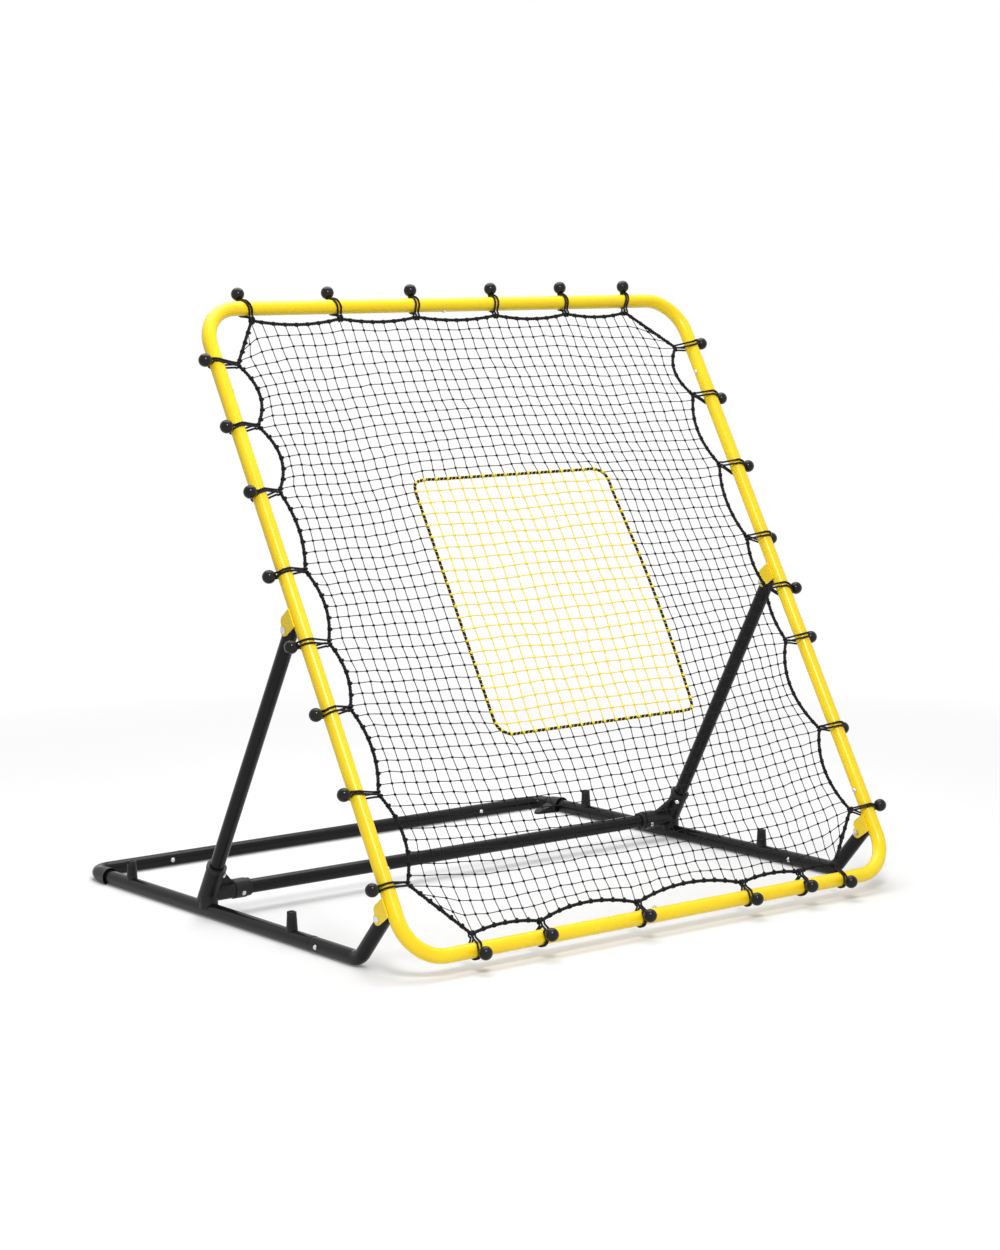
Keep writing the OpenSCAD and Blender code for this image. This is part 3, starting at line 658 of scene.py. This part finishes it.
def turned(place, spin):
    """3 x 4 matrix that sets a lump at a place on the net, spun in its plane."""
    c, s = math.cos(spin), math.sin(spin)
    flat = AXES @ np.array([[c, -s, 0], [s, c, 0], [0, 0, 1]])
    return np.column_stack([flat, on_frame(place)[0]])


def twine(mesher, nodes, radius):
    line = smooth_path(nodes, 3)
    mesher.sweep(on_frame(line), radius, sides=6, flat=BEHIND)


TWINE_R = 0.00085
YELLOW_R = 0.00105
KNOT_SIZE = (0.0029, 0.0026, 0.0021)
YELLOW_KNOT = (0.0033, 0.0030, 0.0023)
shapes = [lump(KNOT_SIZE, k) for k in range(3)]
yellow_shapes = [lump(YELLOW_KNOT, k) for k in range(3)]
(c0, c1), (r0, r1) = ZONE_COLS, ZONE_ROWS
black, black_knots, yellow = Mesher(), Mesher(), Mesher()
for j in range(1, ROWS):
    if r0 <= j <= r1:
        twine(black, knot[: c0 + 1, j], TWINE_R)
        twine(black, knot[c1:, j], TWINE_R)
    else:
        twine(black, knot[:, j], TWINE_R)
    if r0 < j < r1:
        twine(yellow, knot[c0 : c1 + 1, j], YELLOW_R)
for i in range(1, COLS):
    if c0 <= i <= c1:
        twine(black, knot[i, : r0 + 1], TWINE_R)
        twine(black, knot[i, r1:], TWINE_R)
    else:
        twine(black, knot[i], TWINE_R)
    if c0 < i < c1:
        twine(yellow, knot[i, r0 : r1 + 1], YELLOW_R)
for i in range(1, COLS):
    for j in range(1, ROWS):
        if (c0 <= i <= c1 and j in (r0, r1)) or (r0 <= j <= r1 and i in (c0, c1)):
            continue
        inside = c0 < i < c1 and r0 < j < r1
        target, kinds = (yellow, yellow_shapes) if inside else (black_knots, shapes)
        target.stamp(random.choice(kinds), [turned(knot[i, j], random.uniform(0, 6.28))])
netting = black.finish("netting", FINISHES["black_net"], "black_net")
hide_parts("net_panel")
black_knots.finish("netting_knots", FINISHES["black_net"], "black_net")
zone_net = yellow.finish("strike_zone_netting", FINISHES["yellow_net"], "yellow_net")
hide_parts("strike_zone")

# %% [markdown]
# ## Rope and hem
#
# The border rope is a three-lobed section that turns once every 18 mm. The twine of each edge
# mesh is whipped round it, which shows as a small collar of turns. The strike zone has a
# thinner hem with yellow stitches, one at the end of each yellow line, and a yellow lashing
# that winds round it from stitch to stitch.

# %% Border rope, hem and whippings
ROPE_CORE = 0.0030
ROPE_LAY = 0.018
HEM_CORE = 0.0027


def whipping(inner, wire, turns, pitch):
    """A few turns of wire round the X axis, as points and faces."""
    m = Mesher()
    steps = int(10 * turns)
    a = np.arange(steps + 1) / 10 * 2 * np.pi
    x = (a / (2 * np.pi) - turns / 2) * pitch
    m.sweep(np.stack([x, inner * np.cos(a), inner * np.sin(a)], 1), wire, sides=5)
    return m.points[0], [np.array(f) for f in m.faces]


def along_line(place, direction):
    """3 x 4 matrix that lays a shape's X axis along a direction of the net's plane."""
    d = Vector((direction[0], direction[1], 0)).normalized()
    flat = AXES @ np.array([[d.x, -d.y, 0], [d.y, d.x, 0], [0, 0, 1]])
    return np.column_stack([flat, on_frame(place)[0]])


rope_even = even_points(np.concatenate([rope_line, rope_line[:1]]), 2400)[:-1]
rope_3d = np.column_stack([rope_even, np.zeros(len(rope_even))])
rope_length = float(np.linalg.norm(np.diff(rope_3d, axis=0), axis=1).sum())
rope = Mesher()
rope.sweep(on_frame(rope_3d), ROPE_CORE, sides=12, closed=True, flat=BEHIND, lobes=3, lobe=0.18, turns=round(rope_length / ROPE_LAY))
collar = whipping(ROPE_CORE + 0.0004, 0.0009, 3, 0.0021)
ring = [(i, 0) for i in range(COLS)] + [(COLS, j) for j in range(ROWS)]
ring += [(i, ROWS) for i in range(COLS, 0, -1)] + [(0, j) for j in range(ROWS, 0, -1)]
for k, (i, j) in enumerate(ring):
    before, after = grid[ring[k - 1]], grid[ring[(k + 1) % len(ring)]]
    rope.stamp(collar, [along_line(knot[i, j] * (1, 1, 0), after - before)])
    tail = (after - before)[::-1] * (-1, 1) / np.linalg.norm(after - before) * ROPE_CORE
    rope.stamp(yellow_shapes[k % 3], [turned((*(knot[i, j, :2] + tail), -ROPE_CORE / 2), k)])
border = rope.finish("border_rope_laid", FINISHES["black_rope"], "black_rope")
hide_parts("border_rope")

hem_nodes = np.array([knot[i, j] for i, j in zone_ring])
hem_path = smooth_path(hem_nodes, 14, closed=True)
hem_length = float(np.linalg.norm(np.diff(hem_path, axis=0), axis=1).sum())
hem = Mesher()
hem.sweep(on_frame(hem_path), HEM_CORE, sides=12, closed=True, flat=BEHIND, lobes=3, lobe=0.13, turns=round(hem_length / 0.012))
zone_hem = hem.finish("strike_zone_hem", FINISHES["black_rope"], "black_rope")
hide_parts("zone_hem")
stitches = Mesher()
lash_turns = round(hem_length / 0.010)
wound = even_points(np.concatenate([hem_path, hem_path[:1]]), lash_turns * 8)[:-1]
angle = np.arange(len(wound)) / 8 * 2 * np.pi
sideways, outward = ring_frames(wound, True, (0, 0, 1))
wound = wound + (HEM_CORE + 0.0004) * (np.cos(angle)[:, None] * sideways + np.sin(angle)[:, None] * outward)
stitches.sweep(on_frame(wound), 0.00055, sides=5, closed=True)
stitch = whipping(HEM_CORE + 0.0005, 0.0007, 2, 0.0016)
for k, (i, j) in enumerate(zone_ring):
    ahead = hem_nodes[(k + 1) % len(hem_nodes)] - hem_nodes[k - 1]
    stitches.stamp(stitch, [along_line(knot[i, j], ahead)])
    stitches.stamp(yellow_shapes[k % 3], [turned(knot[i, j] + (0, 0, -HEM_CORE), k)])
stitches.finish("strike_zone_stitches", FINISHES["yellow_net"], "yellow_net")
print("rope", round(rope_length, 2), "m, hem", round(hem_length, 2), "m")

# %% [markdown]
# ## Elastic ties
#
# A tie is one elastic cord with both its ends in a ball. It runs behind the tube, round the
# border rope and back over the tube's front, and its loop is hooked over the neck of the ball.
# Its line is drawn in the plane across the tube, from the same few values: tangents from the
# rope to the tube, arcs round the tube, and a narrow U behind the neck.

# %% Draw the ties
CORD_R = 0.0020
HUG = TUBE_R + CORD_R + 0.0002
ROPE_WRAP = ROPE_CORE + CORD_R + 0.0004


def tie_line(gap, turn, reach, lean, slip, spread):
    """Points (x toward the net, y behind, z along the tube) of a tie's whole cord."""
    away = math.pi - math.acos(HUG / gap)

    def at(angle, radius, z):
        return (-radius * math.cos(angle), -radius * math.sin(angle), z)

    def half(sign):
        """From the ball, behind the tube, round the rope and over the front to the loop."""
        points = [at(turn, reach - BALL_R + 0.004, sign * 0.0018), at(turn - 0.05, reach - BALL_R - 0.0006, sign * 0.0018)]
        points.append(at(turn - 0.3, HUG + 0.0008, sign * 0.0018))
        first, last = turn - 0.6, -away
        steps = max(3, round((first - last) / 0.35))
        for k in range(steps + 1):
            share = k / steps
            points.append(at(first + (last - first) * share, HUG, sign * (0.0018 + 0.0012 * share) + slip * share))
        middle = lean + slip * 0.4
        points.append((gap - 0.008, 0.003, middle + sign * 0.0032))
        points.append((gap - 0.001, ROPE_WRAP, middle + sign * 0.003))
        points.append((gap + ROPE_WRAP, 0.0, lean + sign * 0.003))
        points.append((gap - 0.001, -ROPE_WRAP, lean + sign * 0.0032))
        points.append((gap - 0.008, -0.0045, lean * 0.9 + sign * min(spread, 0.0036)))
        first, last = away, turn + 0.55
        steps = max(3, round((first - last) / 0.35))
        for k in range(steps + 1):
            share = k / steps
            points.append(at(first + (last - first) * share, HUG, sign * spread + lean * 0.75 * (1 - share)))
        points.append(at(turn + 0.25, HUG + 0.0007, sign * (spread + 0.0054) / 2))
        points.append(at(turn, HUG + 0.0017, sign * 0.0054))
        points.append(at(turn - 0.24, HUG + 0.003, sign * 0.0036))
        return points

    loop = [at(turn - 0.33, HUG + 0.0034, 0.0)]
    return half(1) + loop + half(-1)[::-1]


NECK_SIDES = 24
cord_lengths = []
for side, (inward, along, tube_at, rope_at) in SIDES.items():
    cords, balls = Mesher(), Mesher()
    axes = np.array([inward, BEHIND, along])
    for k, tie in enumerate(ties[side]):
        axis = on_frame((*tie["axis"], 0))[0]
        gap = math.dist(tie["axis"], tie["rope"]) if side in ("bottom", "top") else abs(tie["axis"][0] - tie["rope"][0])
        gap = abs(tie["axis"][1] - tie["rope"][1]) if side in ("bottom", "top") else gap
        lean = tie["lean"] * (-1 if side == "bottom" else 1)
        slip = random.uniform(-0.006, 0.006)
        points = tie_line(gap, tie["turn"], tie["reach"], lean, slip, tie["spread"])
        line = smooth_path(np.array(points) @ axes + axis, 4)
        cord_lengths.append(float(np.linalg.norm(np.diff(line, axis=0), axis=1).sum()))
        cords.sweep(line, CORD_R, sides=8)
        # The ball: a lathe profile, from its outer pole to the rim of the hole at its neck
        outward = np.array(Vector(tie["middle"])) - axis
        outward /= np.linalg.norm(outward)
        t1 = np.array(along)
        t2 = np.cross(outward, t1)
        profile = [(BALL_R * math.cos(a), BALL_R * math.sin(a)) for a in np.linspace(0.02, 2.75, 22)]
        profile += [(-0.0124, 0.0046), (-0.0132, 0.0043), (-0.0133, 0.0037), (-0.0124, 0.0033), (-0.0095, 0.0032)]
        rim = np.arange(NECK_SIDES) / NECK_SIDES * 2 * np.pi
        middle = np.array(tie["middle"])
        rings = np.array([[middle + outward * x + r * (np.cos(a) * t1 + np.sin(a) * t2) for a in rim] for x, r in profile])
        n = len(profile)
        faces = []
        for p in range(n - 1):
            for q in range(NECK_SIDES):
                q2 = (q + 1) % NECK_SIDES
                faces.append((p * NECK_SIDES + q, p * NECK_SIDES + q2, (p + 1) * NECK_SIDES + q2, (p + 1) * NECK_SIDES + q))
        faces.append(tuple(range(NECK_SIDES))[::-1])
        faces.append(tuple(np.arange(NECK_SIDES) + (n - 1) * NECK_SIDES))
        balls.add(rings.reshape(-1, 3), [np.array(f) for f in faces])
    piece = cords.finish(side + "_ties", FINISHES["elastic"], "elastic")
    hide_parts(side + "_elastics")
    piece = balls.finish(side + "_tie_balls", FINISHES["ball"], "ball")
    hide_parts(side + "_balls")
print("a tie's cord is", round(min(cord_lengths) * 1000), "to", round(max(cord_lengths) * 1000), "mm")

# %% [markdown]
# ## Floor, light and camera
#
# The floor is a pale disc that keeps the object's soft shadow and fades into the white world
# round it. A large lamp overhead and a little behind gives the pale tops of the tubes and the
# shadow toward the viewer. A smaller one near the camera puts the highlights on the balls.

# %% Floor
FLOOR_R = 9.0
bpy.ops.mesh.primitive_circle_add(vertices=96, radius=FLOOR_R, fill_type="NGON", location=(0, 0, -0.0005))
floor = bpy.context.object
floor.name = "studio_floor"
material = bpy.data.materials.new("Studio floor")
material.use_nodes = True
tree = material.node_tree
tree.nodes.clear()
place = put(tree, "ShaderNodeTexCoord").outputs["Object"]
away = put(tree, "ShaderNodeVectorMath", {"operation": "LENGTH"}, _0=place).outputs["Value"]
fade = mapped(tree, away, 1.0, 2.8, 0.0, 1.0)
diffuse = put(tree, "ShaderNodeBsdfDiffuse", Color=(0.72, 0.72, 0.727, 1)).outputs[0]
rays = put(tree, "ShaderNodeLightPath")
seen = math_of(tree, "MAXIMUM", rays.outputs["Is Camera Ray"], math_of(tree, "MAXIMUM", rays.outputs["Is Glossy Ray"], rays.outputs["Is Transmission Ray"]))
lift = put(tree, "ShaderNodeEmission", Color=(1, 1, 1, 1), Strength=math_of(tree, "MULTIPLY", seen, 0.11)).outputs[0]
near = put(tree, "ShaderNodeAddShader", _0=diffuse, _1=lift).outputs[0]
white = put(tree, "ShaderNodeEmission", Color=(1, 1, 1, 1), Strength=math_of(tree, "MULTIPLY", seen, 1.0)).outputs[0]
shader = put(tree, "ShaderNodeMixShader", _0=fade, _1=near, _2=white).outputs[0]
output = put(tree, "ShaderNodeOutputMaterial")
tree.links.new(shader, output.inputs["Surface"])
floor.data.materials.append(material)
print("floor", FLOOR_R, "m")

# %% World and lamps
SKY_LIGHT = 0.5
world = bpy.data.worlds.new("Studio")
bpy.context.scene.world = world
world.use_nodes = True
tree = world.node_tree
tree.nodes.clear()
rays = put(tree, "ShaderNodeLightPath")
seen = math_of(tree, "MAXIMUM", rays.outputs["Is Camera Ray"], rays.outputs["Is Transmission Ray"])
seen = math_of(tree, "MAXIMUM", seen, rays.outputs["Is Glossy Ray"])
strength = mapped(tree, seen, 0.0, 1.0, SKY_LIGHT, 1.0)
sky = put(tree, "ShaderNodeBackground", Color=(1, 1, 1, 1), Strength=strength).outputs[0]
output = put(tree, "ShaderNodeOutputWorld")
tree.links.new(sky, output.inputs["Surface"])


def lamp(name, place, aim, size, power):
    data = bpy.data.lights.new(name, "AREA")
    data.shape, data.size, data.energy = "DISK", size, power
    light = bpy.data.objects.new(name, data)
    bpy.context.scene.collection.objects.link(light)
    light.location = place
    light.rotation_mode = "QUATERNION"
    light.rotation_quaternion = (Vector(aim) - Vector(place)).to_track_quat("-Z", "Y")
    light.visible_camera = False
    return light


lamp("overhead", (0.3, 0.8, 3.3), (0, 0.1, 0.3), 3.4, 94)
lamp("front", (-1.3, -2.4, 2.7), (0, 0, 0.6), 1.0, 62)

# %% Camera
CAMERA_AZIMUTH, CAMERA_ELEVATION, CAMERA_ROLL = -37.6, 7.22, -0.557
CAMERA_PLACE = Vector((-3.4084, -4.4693, 1.2475))
LENS_MM = 80.42
a, e, r = (math.radians(x) for x in (CAMERA_AZIMUTH, CAMERA_ELEVATION, CAMERA_ROLL))
back = Vector((math.sin(a) * math.cos(e), -math.cos(a) * math.cos(e), math.sin(e)))
right = Vector((math.cos(a), math.sin(a), 0))
over = back.cross(right)
right, over = right * math.cos(r) + over * math.sin(r), over * math.cos(r) - right * math.sin(r)
data = bpy.data.cameras.new("camera")
data.lens, data.sensor_width, data.sensor_fit = LENS_MM, 36.0, "AUTO"
camera = bpy.data.objects.new("camera", data)
bpy.context.scene.collection.objects.link(camera)
turn = Matrix((right, over, back)).transposed()
camera.matrix_world = Matrix.Translation(CAMERA_PLACE) @ turn.to_4x4()
bpy.context.scene.camera = camera
bpy.context.scene.view_settings.view_transform = "Standard"
print("camera", LENS_MM, "mm lens,", round(CAMERA_PLACE.length, 2), "m away")
